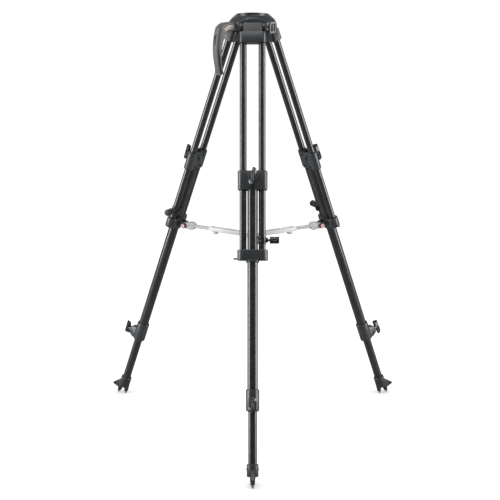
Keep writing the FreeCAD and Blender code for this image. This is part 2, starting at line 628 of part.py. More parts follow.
def foot_spikes():
    spikes = []
    for side in (-1, 1):
        tip = spike_point(side)
        axis = spike_axis(side)
        shank_end = tip - axis * SPIKE_R * 1.6
        shank = Part.makeCylinder(SPIKE_R, SPIKE_LENGTH - SPIKE_R * 1.6, tip - axis * SPIKE_LENGTH, axis)
        point = Part.makeCone(SPIKE_R, SPIKE_TIP_R, SPIKE_R * 1.6, shank_end, axis)
        spikes.append(fused([shank, point]))
    return Part.makeCompound(spikes)


# ---------------------------------------------------------------- spreader, arm pointing to -Y
def spreader_hub():
    """Small disc with three upright tongues that reach into the arms' forks."""
    z = ARM_HEIGHT
    disc = rod(HUB_DISC_RADIUS, (0, 0, z - HUB_DROP), (0, 0, z - HUB_DROP + 4))
    pieces = [disc, rod(7.0, (0, 0, z - HUB_DROP - 4), (0, 0, z - HUB_DROP + 1))]
    half = HUB_TONGUE / 2
    y = -HUB_PIVOT_RADIUS
    tongue = polygon([(-half, -5, z - HUB_DROP), (-half, y + 4, z - HUB_DROP), (-half, y - HUB_EYE_R, z),
                      (-half, y, z + HUB_EYE_R), (-half, y + 5, z + HUB_EYE_R), (-half, -5, z - 2)])
    eye = rod(RIVET_R, (-20, y, z), (20, y, z))
    for azimuth in LEG_AZIMUTHS.values():
        pieces.append(turned(extruded(tongue, Vector(0, 0, 0), AXIS_X, HUB_TONGUE).cut(eye), azimuth))
    return fused(pieces)


def arm_rail():
    """Inner, hollow half of an arm: a forked channel from the hub outwards."""
    z = ARM_HEIGHT
    pivot = -HUB_PIVOT_RADIUS
    start = pivot - RAIL_START
    end = pivot - RAIL_END
    half, rise = RAIL_WIDTH / 2, RAIL_HEIGHT / 2
    channel = box(-half, half, end, start, z - rise, z + rise)
    long_edges = [e for e in channel.Edges if abs(e.Vertexes[0].Y - e.Vertexes[-1].Y) > 1]
    channel = channel.makeChamfer(1.5, long_edges)
    fork_half = FORK_WIDTH / 2
    fork = box(-fork_half, fork_half, start - 1, pivot, z - FORK_EYE_R, z + FORK_EYE_R)
    tip = rod(FORK_EYE_R, (-fork_half, pivot, z), (fork_half, pivot, z))
    knob = rod(ARM_KNOB_R, (0, end + 14, z - rise - ARM_KNOB_HEIGHT), (0, end + 14, z - rise + 1))
    whole = fused([channel, fork, tip, knob])
    bar_half, bar_rise = BAR_WIDTH / 2 + SLIDE_GAP, BAR_HEIGHT / 2 + SLIDE_GAP
    hollow = box(-bar_half, bar_half, end - 1, pivot - RAIL_HOLLOW_START, z - bar_rise, z + bar_rise)
    slot = box(-FORK_GAP / 2, FORK_GAP / 2, pivot - FORK_SLOT, pivot + 10, z - rise - 1, z + rise + 1)
    eye = rod(RIVET_R, (-10, pivot, z), (10, pivot, z))
    return fused([whole.cut([hollow, slot, eye])])


def arm_bar():
    """Outer half of an arm: bar and the end fitting that turns on the leg's pin."""
    z = ARM_HEIGHT
    pivot = -ARM_RADIUS
    half, rise = BAR_WIDTH / 2, BAR_HEIGHT / 2
    root = pivot + FITTING_LENGTH
    bar = box(-half, half, root - 2, -HUB_PIVOT_RADIUS - BAR_START, z - rise, z + rise)
    fit_half = ARM_CHEEK_GAP / 2 - SIDE_GAP
    up = FITTING_HEIGHT / 2
    outline = polygon([(-fit_half, root, z + 4), (-fit_half, root - 8, z + up), (-fit_half, pivot + 4, z + 7),
                       (-fit_half, pivot - 3, z + 6), (-fit_half, pivot - 6.5, z), (-fit_half, pivot - 4, z - 5),
                       (-fit_half, pivot + 5, z - 7), (-fit_half, root - 8, z - up), (-fit_half, root, z - 4)])
    fitting = extruded(outline, Vector(0, 0, 0), AXIS_X, 2 * fit_half)
    eye = rod(ARM_PIN_R + HINGE_GAP, (-20, pivot, z), (20, pivot, z))
    bar_end = -HUB_PIVOT_RADIUS - BAR_START
    slot = box(-FORK_GAP / 2 - SLIDE_GAP, FORK_GAP / 2 + SLIDE_GAP, bar_end - BAR_SLOT, bar_end + 1,
               z - rise - 1, z + rise + 1)
    return fused([fused([bar, fitting]).cut([eye, slot])])


# ---------------------------------------------------------------- every node
def leg_nodes():
    return {"leg_shoulder": leg_shoulder(), "upper_tubes": upper_tubes(), "leg_yoke": leg_yoke(),
            "spreader_pin": spreader_pin(), "tube_band": tube_band(), "thumb_knob": thumb_knob(),
            "slider_block": slider_block(), "upper_knob": upper_knob(), "mid_tube": mid_tube(),
            "lower_clamp": lower_clamp(), "lower_knob": lower_knob(), "lower_tube": lower_tube(),
            "foot": foot(), "foot_spikes": foot_spikes()}


def all_nodes():
    nodes = {"crown": crown(), "bowl_liner": bowl_liner(), "hinge_pins": hinge_pins(),
             "accessory_plate": accessory_plate(), "handle_frame": handle_frame(), "handle_grip": handle_grip(),
             "handle_panels": handle_panels(), "handle_screws": handle_screws(),
             "spreader_hub": spreader_hub()}
    leg = leg_nodes()
    rail = arm_rail()
    bar = arm_bar()
    for name, azimuth in LEG_AZIMUTHS.items():
        for node, shape in leg.items():
            nodes[node + "_" + name] = on_leg(shape, azimuth)
        nodes["arm_rail_" + name] = turned(rail, azimuth)
        nodes["arm_bar_" + name] = turned(bar, azimuth)
    return nodes


def main():
    os.makedirs("parts", exist_ok=True)
    for name, shape in all_nodes().items():
        if not shape.isValid():
            print("not valid:", name)
        shape.exportStep("parts/" + name + ".step")


main()
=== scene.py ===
"""Looks of a two-stage carbon tripod with a levelling bowl, a carry handle and a mid-level spreader.

All sizes are in metres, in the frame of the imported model: the floor is Z = 0 and the front leg points to -Y.
"""

import json
import math

import bmesh
import bpy
from mathutils import Matrix, Vector


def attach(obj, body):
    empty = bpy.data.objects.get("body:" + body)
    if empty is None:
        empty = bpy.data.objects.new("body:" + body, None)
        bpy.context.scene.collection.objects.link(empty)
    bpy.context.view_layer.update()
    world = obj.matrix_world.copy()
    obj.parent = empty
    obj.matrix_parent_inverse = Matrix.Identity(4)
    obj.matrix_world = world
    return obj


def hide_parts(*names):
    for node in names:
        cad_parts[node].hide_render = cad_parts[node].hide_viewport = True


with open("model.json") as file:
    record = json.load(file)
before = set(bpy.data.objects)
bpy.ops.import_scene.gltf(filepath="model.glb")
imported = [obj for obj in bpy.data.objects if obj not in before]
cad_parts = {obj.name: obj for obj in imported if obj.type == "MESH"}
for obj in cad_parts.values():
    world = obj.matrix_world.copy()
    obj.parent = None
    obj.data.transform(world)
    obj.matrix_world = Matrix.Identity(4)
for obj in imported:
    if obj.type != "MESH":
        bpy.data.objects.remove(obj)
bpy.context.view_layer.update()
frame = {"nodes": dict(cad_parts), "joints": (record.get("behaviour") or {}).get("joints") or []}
NODES = frame["nodes"]
JOINTS = {joint["name"]: joint for joint in frame["joints"]}
SIDES = ("front", "right", "left")

# ---------------------------------------------------------------- driving dimensions
IMAGE_SIDE = 500.0            # the frame is square
FOCAL = 1481.0                # focal length in the same unit
SENSOR = 36.0
CAMERA_PLACE = (0.0, -3.4917, 1.4007)
CAMERA_TILT = math.radians(90.0 - 15.3)
CAMERA_SHIFT = -0.0052

HANDLE_TURN = math.radians(-60.0)      # the two pads between the legs
PLATE_TURN = math.radians(60.0)

WING_DEPTH = 0.0105           # wing knobs: the blade along the knob's axis
WING_HALF = 0.0048            # half the blade's width at its middle
WING_BULGE = 0.0018           # widening between the middle and the tips
WING_SWEEP = 0.0038           # sideways offset of the tips
WING_STEPS = 28               # corners of the blade's outline
WING_LAYERS = (               # share of the depth, narrowing, lean that is left, shortening
    (0.30, 0.98, 1.0, 1.0), (0.50, 0.42, 0.30, 0.985), (0.14, 0.80, 0.22, 0.98), (0.06, 0.6, 0.15, 0.97))
HUB_DEPTH = 0.006
HUB_RADIUS = 0.007
HUB_TAPER = 0.8
KNOB_STUD_RADIUS = 0.0035

SCREW_HEAD = 0.0032           # socket screws on the slider block
SCREW_DEPTH = 0.0014
SCREW_ACROSS = 0.0118         # half their pitch across and along the leg
SCREW_ALONG = 0.015
SCREW_SINK = 0.0040           # seat in front of the block's back
FOOT_SCREW_HEAD = 0.0022
FOOT_SCREW_DEPTH = 0.0012
FOOT_SCREW_OUT = 0.0132       # seat beside the foot's axis
FOOT_SCREW_DROP = 0.012       # below the collar's top

UPPER_TUBE = 0.008            # radii of the tubes and how far bushes and rings stand off them
MID_TUBE = 0.012
LOWER_TUBE = 0.010
UPPER_TUBE_OFFSET = 0.02185   # each upper tube beside the leg's centre line
BUSH_GAP = 0.0003
RING_GAP = 0.0001
WIPER_GAP = 0.0004

BUSH_WALL = 0.0016            # dark guide bushes on the slider block
BUSH_DEPTH = 0.0018
BUSH_RISE = 0.0012
BUSH_SINK = 0.0005
WIPER_WALL = 0.0013           # rubber wiper rings on the clamps
WIPER_RISE = 0.0012
WIPER_SINK = 0.0006
YOKE_WIPER_WALL = 0.0022
YOKE_WIPER_DROP = 0.0008
YOKE_WIPER_SINK = 0.0004

STUD_RADIUS = 0.0011          # raised studs on the hand grip
STUD_ROWS = 7
STUD_PITCH = 0.0034
STUD_TOP = 0.020              # first row below the grip's top
STUD_LIFT = 0.0001            # centres inside the grip's back face
GRIP_BELLY_HEIGHT = 0.94      # the grip's back curves away above and below this height
GRIP_CURVE = 1.75

CREST_HALF = 0.0095           # rubber strip along the handle's arch
CREST_START = 0.0555          # out from the centre line
CREST_LENGTH = 0.0345
CREST_ABOVE = 0.0011
CREST_BELOW = 0.0015
CREST_SLOPE = 0.0015          # fall over the whole length
CREST_BEND_FALL = 0.0062      # extra fall round the bend
CREST_BEND_START = 0.58
CREST_CUTS = 11

SLOT_SHADE_SHEET = (0.0082, 0.0006, 0.0166)  # dark sheets at the bottom of the plate's slots: painted shade inside the slots
SLOT_OFFSET = 0.00625         # from the plate's middle
SLOT_FLOOR = 0.0025           # behind the plate's face

COVER_WIDTH = 0.0424          # flat cover in front of a hinge's barrel
COVER_TOP = 0.0080            # top and foot from the hinge's axis
COVER_FOOT = -0.0135
COVER_ROUND = 0.0030
COVER_WALL = 0.0016
COVER_STEP = 0.0004           # behind the shoulder's face

FLOOR_GLOW = 0.985            # brightness of the floor to the eye, to matt surfaces and to glossy ones
FLOOR_BOUNCE = 0.30
FLOOR_MIRROR = 0.03

WEAVE_COUNTS = {"upper_tubes": 28, "mid_tube": 40, "lower_tube": 32}   # carbon tows round each tube


# ---------------------------------------------------------------- places read from the frame
def leg_place(side):
    """The leg's own frame: hinge at the origin, leg straight down, its outside at -Y."""
    across = Vector(JOINTS["leg_fold_" + side]["axis"])
    up = -Vector(JOINTS["mid_slide_" + side]["axis"])
    place = Matrix((across, up.cross(across), up)).transposed().to_4x4()
    place.translation = Vector(JOINTS["leg_fold_" + side]["pos_m"])
    return place


LEG = {side: leg_place(side) for side in SIDES}


def reach(node, place):
    """Lowest and highest corner of a CAD node, in the frame that place gives."""
    inverse = place.inverted()
    points = [inverse @ vertex.co for vertex in NODES[node].data.vertices]
    low = Vector(min(point[i] for point in points) for i in range(3))
    high = Vector(max(point[i] for point in points) for i in range(3))
    return low, high


def on_leg(name):
    """Reach of a front-leg node in the leg's own frame."""
    return reach(name + "_front", LEG["front"])


def turn_z(angle):
    return Matrix.Rotation(angle, 4, "Z")


# ---------------------------------------------------------------- mesh work
def only(piece):
    """Selects one object and nothing else."""
    if bpy.context.object and bpy.context.object.mode != "OBJECT":
        bpy.ops.object.mode_set(mode="OBJECT")
    for other in list(bpy.context.selected_objects):
        other.select_set(False)
    bpy.context.view_layer.objects.active = piece
    piece.select_set(True)


def added(name, operator, **options):
    """A new primitive under its name, alone in the selection, with its place in its mesh."""
    for other in list(bpy.context.selected_objects):
        other.select_set(False)
    operator(**options)
    piece = bpy.context.object
    piece.name = name
    piece.data.name = name
    bpy.ops.object.transform_apply(location=True, rotation=True, scale=True)
    return piece


def rod(name, radius, start, end, sides=32):
    """A cylinder from one point to another."""
    start, end = Vector(start), Vector(end)
    axis = end - start
    turn = axis.to_track_quat("Z", "Y").to_euler()
    return added(name, bpy.ops.mesh.primitive_cylinder_add, vertices=sides, radius=radius,
                 depth=axis.length, location=(start + end) / 2, rotation=turn)


def pick_faces(piece, test):
    """Enters edit mode with just the faces that pass the test selected."""
    only(piece)
    bpy.ops.object.mode_set(mode="EDIT")
    bpy.ops.mesh.select_mode(type="FACE")
    bpy.ops.mesh.select_all(action="DESELECT")
    mesh = bmesh.from_edit_mesh(piece.data)
    for face in mesh.faces:
        face.select = test(face)
    mesh.select_flush_mode()
    bmesh.update_edit_mesh(piece.data)


def object_mode():
    bpy.ops.object.mode_set(mode="OBJECT")


def rounded(piece, width, segments=2, angle=30.0, clamp=True):
    """Rounds every edge sharper than angle."""
    only(piece)
    modifier = piece.modifiers.new("round", "BEVEL")
    modifier.width = width
    modifier.segments = segments
    modifier.limit_method = "ANGLE"
    modifier.angle_limit = math.radians(angle)
    modifier.use_clamp_overlap = clamp
    modifier.miter_outer = "MITER_ARC"
    bpy.ops.object.modifier_apply(modifier=modifier.name)
    return piece


def joined(name, pieces):
    """One object from several."""
    only(pieces[0])
    for piece in pieces:
        piece.select_set(True)
    bpy.ops.object.join()
    pieces[0].name = name
    pieces[0].data.name = name
    return pieces[0]


def duplicate(piece, name, place):
    """A copy with its own mesh, moved by a matrix."""
    copy = bpy.data.objects.new(name, piece.data.copy())
    copy.data.name = name
    copy.data.transform(place)
    bpy.context.scene.collection.objects.link(copy)
    return copy


def finished(piece, body, material, smooth=35.0):
    """Shades the piece, gives it its finish and lets it ride on its body."""
    only(piece)
    bpy.ops.object.shade_smooth_by_angle(angle=math.radians(smooth))
    piece.data.materials.clear()
    piece.data.materials.append(material)
    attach(piece, body)
    return piece


def on_each_leg(piece, body, materials, replaces=None, smooth=35.0):
    """Copies a piece modelled in the leg's frame to the three legs."""
    name = piece.name
    for side in SIDES:
        copy = duplicate(piece, name + "_" + side, LEG[side])
        material = materials[side] if isinstance(materials, dict) else materials
        finished(copy, body + "_" + side, material, smooth)
        if replaces:
            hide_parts(replaces + "_" + side)
    bpy.data.objects.remove(piece)


# ---------------------------------------------------------------- material building blocks
def feed(tree, socket, value):
    """Links a socket to a socket, or sets its value."""
    if isinstance(value, bpy.types.NodeSocket):
        tree.links.new(value, socket)
    else:
        socket.default_value = value


def node(tree, kind, inputs=(), **settings):
    made = tree.nodes.new(kind)
    for key, value in settings.items():
        setattr(made, key, value)
    for key, value in dict(inputs).items():
        feed(tree, made.inputs[key], value)
    return made


def maths(tree, operation, first, second=None, third=None):
    made = tree.nodes.new("ShaderNodeMath")
    made.operation = operation
    for socket, value in zip(made.inputs, (first, second, third)):
        if value is not None:
            feed(tree, socket, value)
    return made.outputs[0]


def remapped(tree, value, low, high, to_low=0.0, to_high=1.0):
    made = node(tree, "ShaderNodeMapRange", {"Value": value, "From Min": low, "From Max": high,
                                             "To Min": to_low, "To Max": to_high})
    return made.outputs["Result"]


def mixed(tree, factor, first, second):
    made = node(tree, "ShaderNodeMix", data_type="RGBA")
    feed(tree, made.inputs[0], factor)
    feed(tree, made.inputs[6], first)
    feed(tree, made.inputs[7], second)
    return made.outputs[2]


def new_group(name, inputs, outputs):
    """An empty node group with its sockets; gives the tree, its inputs and its output node."""
    group = bpy.data.node_groups.new(name, "ShaderNodeTree")
    for label, kind, value in inputs:
        socket = group.interface.new_socket(label, in_out="INPUT", socket_type=kind)
        if value is not None:
            socket.default_value = value
    for label, kind in outputs:
        group.interface.new_socket(label, in_out="OUTPUT", socket_type=kind)
    return group, group.nodes.new("NodeGroupInput").outputs, group.nodes.new("NodeGroupOutput")


def placed_group(tree, group, inputs):
    made = tree.nodes.new("ShaderNodeGroup")
    made.node_tree = group
    for key, value in inputs.items():
        feed(tree, made.inputs[key], value)
    return made.outputs


def build_edge_wear():
    """Mask of rubbed edges: where the rounded normal leaves the true one, broken up by noise."""
    group, given, out = new_group("edge_wear", [("Vector", "NodeSocketVector", None),
                                                ("Width", "NodeSocketFloat", 0.0008),
                                                ("Breakup", "NodeSocketFloat", 90.0)],
                                  [("Mask", "NodeSocketFloat")])
    soft = node(group, "ShaderNodeBevel", {"Radius": given["Width"]}, samples=4)
    true = node(group, "ShaderNodeNewGeometry")
    match = node(group, "ShaderNodeVectorMath", {0: soft.outputs[0], 1: true.outputs["Normal"]},
                 operation="DOT_PRODUCT")
    edge = remapped(group, match.outputs["Value"], 0.985, 0.86)
    noise = node(group, "ShaderNodeTexNoise", {"Vector": given["Vector"], "Scale": given["Breakup"],
                                               "Detail": 3.0})
    patches = remapped(group, noise.outputs["Fac"], 0.36, 0.62)
    group.links.new(maths(group, "MULTIPLY", edge, patches), out.inputs["Mask"])
    return group


def build_grain():
    """Fine moulded or powder-coated grain: a tone that drifts over the surface and a height."""
    group, given, out = new_group("fine_grain", [("Vector", "NodeSocketVector", None),
                                                 ("Scale", "NodeSocketFloat", 1800.0),
                                                 ("Drift", "NodeSocketFloat", 14.0)],
                                  [("Tone", "NodeSocketFloat"), ("Height", "NodeSocketFloat")])
    pebble = node(group, "ShaderNodeTexVoronoi", {"Vector": given["Vector"], "Scale": given["Scale"]})
    speck = node(group, "ShaderNodeTexNoise", {"Vector": given["Vector"], "Scale": given["Scale"],
                                               "Detail": 2.0})
    drift = node(group, "ShaderNodeTexNoise", {"Vector": given["Vector"], "Scale": given["Drift"],
                                               "Detail": 4.0})
    height = maths(group, "MULTIPLY_ADD", speck.outputs["Fac"], 0.5, pebble.outputs["Distance"])
    group.links.new(remapped(group, drift.outputs["Fac"], 0.3, 0.7), out.inputs["Tone"])
    group.links.new(height, out.inputs["Height"])
    return group


def build_weave():
    """Two-over-two carbon twill round a tube whose axis is the given vector's Z."""
    group, given, out = new_group("carbon_twill", [("Vector", "NodeSocketVector", None),
                                                   ("Radius", "NodeSocketFloat", 0.012),
                                                   ("Tows", "NodeSocketFloat", 40.0)],
                                  [("Over", "NodeSocketFloat"), ("Height", "NodeSocketFloat"),
                                   ("Tone", "NodeSocketFloat")])
    parts = node(group, "ShaderNodeSeparateXYZ", {0: given["Vector"]}).outputs
    angle = maths(group, "ARCTAN2", parts["Y"], parts["X"])
    round_tube = maths(group, "MULTIPLY", maths(group, "DIVIDE", angle, 2 * math.pi), given["Tows"])
    tow = maths(group, "DIVIDE", maths(group, "MULTIPLY", given["Radius"], 2 * math.pi), given["Tows"])
    along_tube = maths(group, "DIVIDE", parts["Z"], tow)
    step = maths(group, "ADD", maths(group, "FLOOR", round_tube), maths(group, "FLOOR", along_tube))
    over = maths(group, "LESS_THAN", maths(group, "FLOORED_MODULO", step, 4.0), 1.5)
    warp = maths(group, "SINE", maths(group, "MULTIPLY", maths(group, "FRACT", round_tube), math.pi))
    weft = maths(group, "SINE", maths(group, "MULTIPLY", maths(group, "FRACT", along_tube), math.pi))
    height = maths(group, "ADD", maths(group, "MULTIPLY", warp, over),
                   maths(group, "MULTIPLY", weft, maths(group, "SUBTRACT", 1.0, over)))
    cloud = node(group, "ShaderNodeTexNoise", {"Vector": given["Vector"], "Scale": 55.0, "Detail": 2.0})
    group.links.new(over, out.inputs["Over"])
    group.links.new(height, out.inputs["Height"])
    group.links.new(remapped(group, cloud.outputs["Fac"], 0.35, 0.65), out.inputs["Tone"])
    return group


EDGE_WEAR = build_edge_wear()
GRAIN = build_grain()
WEAVE = build_weave()


def blank_material(name):
    """A material with its Principled shader and the object's own coordinates."""
    material = bpy.data.materials.new(name)
    material.use_nodes = True
    tree = material.node_tree
    shader = tree.nodes["Principled BSDF"]
    place = tree.nodes.new("ShaderNodeTexCoord").outputs["Object"]
    return material, tree, shader, place


def shade(colour, factor):
    return tuple(min(1.0, c * factor) for c in colour[:3]) + (1.0,)


def grained(name, colour, roughness, grain=1800.0, bump=0.00003, wear=0.0, worn=None,
            metallic=0.0, coat=0.0, coat_roughness=0.2, width=0.0008):
    """Painted, moulded or cast finish: drifting tone, fine bump and lighter rubbed edges."""
    material, tree, shader, place = blank_material(name)
    texture = placed_group(tree, GRAIN, {"Vector": place, "Scale": grain})
    colours = mixed(tree, texture["Tone"], shade(colour, 0.86), shade(colour, 1.14))
    rough = remapped(tree, texture["Tone"], 0.0, 1.0, roughness - 0.05, roughness + 0.06)
    if wear:
        edges = placed_group(tree, EDGE_WEAR, {"Vector": place, "Width": width})
        amount = maths(tree, "MULTIPLY", edges["Mask"], wear)
        colours = mixed(tree, amount, colours, shade(worn or colour, 1.0))
        rough = maths(tree, "MULTIPLY_ADD", amount, -0.12, rough)
    feed(tree, shader.inputs["Base Color"], colours)
    feed(tree, shader.inputs["Roughness"], rough)
    shader.inputs["Metallic"].default_value = metallic
    shader.inputs["Coat Weight"].default_value = coat
    shader.inputs["Coat Roughness"].default_value = coat_roughness
    relief = node(tree, "ShaderNodeBump", {"Height": texture["Height"], "Strength": 0.6, "Distance": bump})
    feed(tree, shader.inputs["Normal"], relief.outputs[0])
    return material


def turned_metal(name, colour, roughness, pitch=0.0004, axis="Z"):
    """Metal with fine lathe rings round an axis and cloudy polish."""
    material, tree, shader, place = blank_material(name)
    rings = node(tree, "ShaderNodeTexWave", {"Vector": place, "Scale": 1.0 / (pitch * 20.0), "Distortion": 0.4},
                 wave_type="BANDS", bands_direction=axis)
    cloud = node(tree, "ShaderNodeTexNoise", {"Vector": place, "Scale": 40.0, "Detail": 3.0})
    tone = maths(tree, "MULTIPLY_ADD", rings.outputs["Fac"], 0.35,
                 maths(tree, "MULTIPLY", cloud.outputs["Fac"], 0.65))
    feed(tree, shader.inputs["Base Color"], mixed(tree, tone, shade(colour, 0.8), shade(colour, 1.2)))
    feed(tree, shader.inputs["Roughness"], remapped(tree, tone, 0.0, 1.0, roughness - 0.06, roughness + 0.1))
    shader.inputs["Metallic"].default_value = 1.0
    relief = node(tree, "ShaderNodeBump", {"Height": rings.outputs["Fac"], "Strength": 0.25,
                                           "Distance": 0.00004})
    feed(tree, shader.inputs["Normal"], relief.outputs[0])
    return material


def carbon(name, side, radius, tows, spacing=0.0):
    """Clear-coated carbon tube; the pattern is turned into the leg's own frame."""
    material, tree, shader, place = blank_material(name)
    turn = LEG[side].inverted()
    mapping = node(tree, "ShaderNodeMapping", {"Vector": place, "Location": turn.translation,
                                               "Rotation": turn.to_euler()})
    vector = mapping.outputs[0]
    if spacing:
        parts = node(tree, "ShaderNodeSeparateXYZ", {0: vector}).outputs
        across = maths(tree, "SUBTRACT", maths(tree, "ABSOLUTE", parts["X"]), spacing)
        vector = node(tree, "ShaderNodeCombineXYZ", {"X": across, "Y": parts["Y"], "Z": parts["Z"]}).outputs[0]
    twill = placed_group(tree, WEAVE, {"Vector": vector, "Radius": radius, "Tows": float(tows)})
    warp = mixed(tree, twill["Tone"], (0.020, 0.021, 0.022, 1), (0.034, 0.036, 0.037, 1))
    weft = mixed(tree, twill["Tone"], (0.006, 0.006, 0.007, 1), (0.012, 0.013, 0.014, 1))
    colours = mixed(tree, twill["Over"], weft, warp)
    feed(tree, shader.inputs["Base Color"], colours)
    feed(tree, shader.inputs["Roughness"], remapped(tree, twill["Over"], 0.0, 1.0, 0.42, 0.30))
    shader.inputs["Coat Weight"].default_value = 1.0
    shader.inputs["Coat Roughness"].default_value = 0.15
    shader.inputs["Specular IOR Level"].default_value = 0.2
    relief = node(tree, "ShaderNodeBump", {"Height": twill["Height"], "Strength": 0.35, "Distance": 0.0001})
    feed(tree, shader.inputs["Normal"], relief.outputs[0])
    return material


# ---------------------------------------------------------------- the finishes
CROWN_PAINT = grained("crown_paint", (0.034, 0.037, 0.041), 0.36, wear=0.5, worn=(0.16, 0.16, 0.165),
                      coat=0.2, coat_roughness=0.3)
CASTING = grained("cast_metal", (0.034, 0.038, 0.042), 0.36, wear=0.55, worn=(0.19, 0.19, 0.195),
                  coat=0.15, coat_roughness=0.3)
KNUCKLE = grained("knuckle_cover", (0.082, 0.086, 0.079), 0.50, wear=0.3, worn=(0.18, 0.18, 0.17))
KNOB = grained("knob_nylon", (0.016, 0.017, 0.018), 0.20, grain=1400.0, bump=0.00004, wear=0.4,
               worn=(0.10, 0.10, 0.10))
FOOT_METAL = grained("foot_metal", (0.028, 0.030, 0.032), 0.38, wear=0.6, worn=(0.22, 0.22, 0.22))
WARM_GREY = grained("warm_grey_plastic", (0.205, 0.188, 0.178), 0.46, grain=1500.0, wear=0.35,
                    worn=(0.26, 0.245, 0.235))
LIGHT_INSERT = grained("light_insert", (0.70, 0.655, 0.625), 0.42, grain=1500.0, wear=0.4,
                       worn=(0.85, 0.82, 0.80))
GRIP_RUBBER = grained("grip_rubber", (0.090, 0.091, 0.085), 0.58, grain=1100.0, bump=0.00008, wear=0.3,
                      worn=(0.15, 0.15, 0.14))
BLACK_RUBBER = grained("black_rubber", (0.012, 0.012, 0.013), 0.55, grain=1200.0, bump=0.00005)
BLACK_SCREW = grained("black_oxide", (0.05, 0.05, 0.052), 0.30, metallic=0.8, wear=0.5,
                      worn=(0.35, 0.35, 0.35), width=0.0004)
PALE_ARM = grained("pale_arm", (0.60, 0.60, 0.605), 0.46, wear=0.25, worn=(0.75, 0.75, 0.75))
# a darker copy of the pale arm finish, for the arm bars and the spreader hub: painted shade standing for the
# arms' lower faces
PALE_PAINTED_SHADE = grained("pale_arm_painted_shade", (0.52, 0.52, 0.53), 0.46, wear=0.25, worn=(0.66, 0.66, 0.66))
RED_PIN = grained("red_pin", (0.86, 0.46, 0.48), 0.36, wear=0.2, worn=(0.95, 0.6, 0.6))
DARK_BOWL = turned_metal("bowl_anodised", (0.075, 0.075, 0.08), 0.40)
STEEL = turned_metal("ground_steel", (0.46, 0.46, 0.47), 0.26)
CARBON = {
    kind: {side: carbon(kind + "_carbon_" + side, side, radius, WEAVE_COUNTS[kind], spacing) for side in SIDES}
    for kind, radius, spacing in (("upper_tubes", UPPER_TUBE, UPPER_TUBE_OFFSET), ("mid_tube", MID_TUBE, 0.0),
                                  ("lower_tube", LOWER_TUBE, 0.0))
}


def coat_node(name, material):
    """Gives a CAD node its finish."""
    mesh_object = NODES[name]
    if not mesh_object.data.materials:
        mesh_object.data.materials.append(material)
    for slot in mesh_object.material_slots:
        slot.material = material


def coat_all_nodes():
    finishes = {"crown": CROWN_PAINT, "bowl_liner": DARK_BOWL, "hinge_pins": CASTING,
                "accessory_plate": WARM_GREY, "handle_frame": WARM_GREY, "handle_grip": GRIP_RUBBER,
                "handle_panels": LIGHT_INSERT, "handle_screws": BLACK_SCREW, "spreader_hub": PALE_PAINTED_SHADE}
    leg_finishes = {"leg_shoulder": CASTING, "leg_yoke": CASTING, "spreader_pin": RED_PIN,
                    "tube_band": KNOB, "thumb_knob": KNOB, "slider_block": CASTING, "upper_knob": KNOB,
                    "lower_clamp": CASTING, "lower_knob": KNOB, "foot": FOOT_METAL, "foot_spikes": STEEL,
                    "arm_rail": PALE_ARM, "arm_bar": PALE_PAINTED_SHADE}
    for side in SIDES:
        finishes.update({kind + "_" + side: material for kind, material in leg_finishes.items()})
        finishes.update({kind + "_" + side: CARBON[kind][side] for kind in CARBON})
    for name, material in finishes.items():
        coat_node(name, material)


# ---------------------------------------------------------------- castings with rounded edges
def softened(node_name, name, width, body, material, segments=2, angle=32.0):
    """A merged copy of a CAD node with its edges rounded, which stands for the node."""
    piece = duplicate(NODES[node_name], name, Matrix.Identity(4))
    only(piece)
    bpy.ops.mesh.customdata_custom_splitnormals_clear()
    bpy.ops.object.mode_set(mode="EDIT")
    bpy.ops.mesh.select_all(action="SELECT")
    bpy.ops.mesh.remove_doubles(threshold=0.00001)
    bpy.ops.mesh.dissolve_limited(angle_limit=math.radians(0.6))
    object_mode()
    rounded(piece, width, segments, angle, clamp=False)
    finished(piece, body, material)
    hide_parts(node_name)
    return piece


def soften_castings():
    softened("crown", "crown_casting", 0.0007, "crown", CROWN_PAINT)
    softened("handle_frame", "handle_shell", 0.0014, "crown", WARM_GREY, segments=3, angle=40.0)
    softened("accessory_plate", "key_plate", 0.0006, "crown", WARM_GREY)
    softened("handle_panels", "handle_inserts", 0.0004, "crown", LIGHT_INSERT)
    softened("spreader_hub", "hub_casting", 0.0005, "hub", PALE_PAINTED_SHADE)
    leg_castings = (("leg_shoulder", "shoulder_casting", 0.0007, "leg", "casting", CASTING),
                    ("leg_yoke", "yoke_casting", 0.0006, "leg", "casting", CASTING),
                    ("tube_band", "split_band", 0.0004, "leg", "knob", KNOB),
                    ("thumb_knob", "thumb_barrel", 0.0003, "thumb", "knob", KNOB),
                    ("slider_block", "slider_casting", 0.0006, "mid", "casting", CASTING),
                    ("lower_clamp", "clamp_casting", 0.0005, "mid", "casting", CASTING),
                    ("foot", "foot_casting", 0.0005, "low", "foot_metal", FOOT_METAL),
                    ("arm_rail", "arm_channel", 0.0005, "rail", "pale_arm", PALE_ARM),
                    ("arm_bar", "arm_slider", 0.0005, "bar", "pale_arm", PALE_PAINTED_SHADE))
    for side in SIDES:
        for node_name, name, width, body, slot, material in leg_castings:
            softened(node_name + "_" + side, name + "_" + side, width, body + "_" + side, material)


# ---------------------------------------------------------------- wing knobs
def wing_outline(step, half_length):
    """One point of the S-shaped blade, seen along the knob's axis."""
    turn = 2 * math.pi * step / WING_STEPS
    up = math.copysign(abs(math.sin(turn)) ** 0.75, math.sin(turn))
    lean = WING_SWEEP * math.sin(min(1.0, 1.2 * abs(up)) * math.pi / 2) * math.copysign(1.0, up)
    half = WING_HALF + WING_BULGE * math.sin(math.pi * abs(up))
    side = math.copysign(abs(math.cos(turn)) ** 0.75, math.cos(turn))
    return lean + half * side, half_length * up


def wing_lean(height, half_length):
    """How far the blade leans sideways at a height."""
    return WING_SWEEP * math.sin(max(-1.0, min(1.0, 1.2 * height / half_length)) * math.pi / 2)


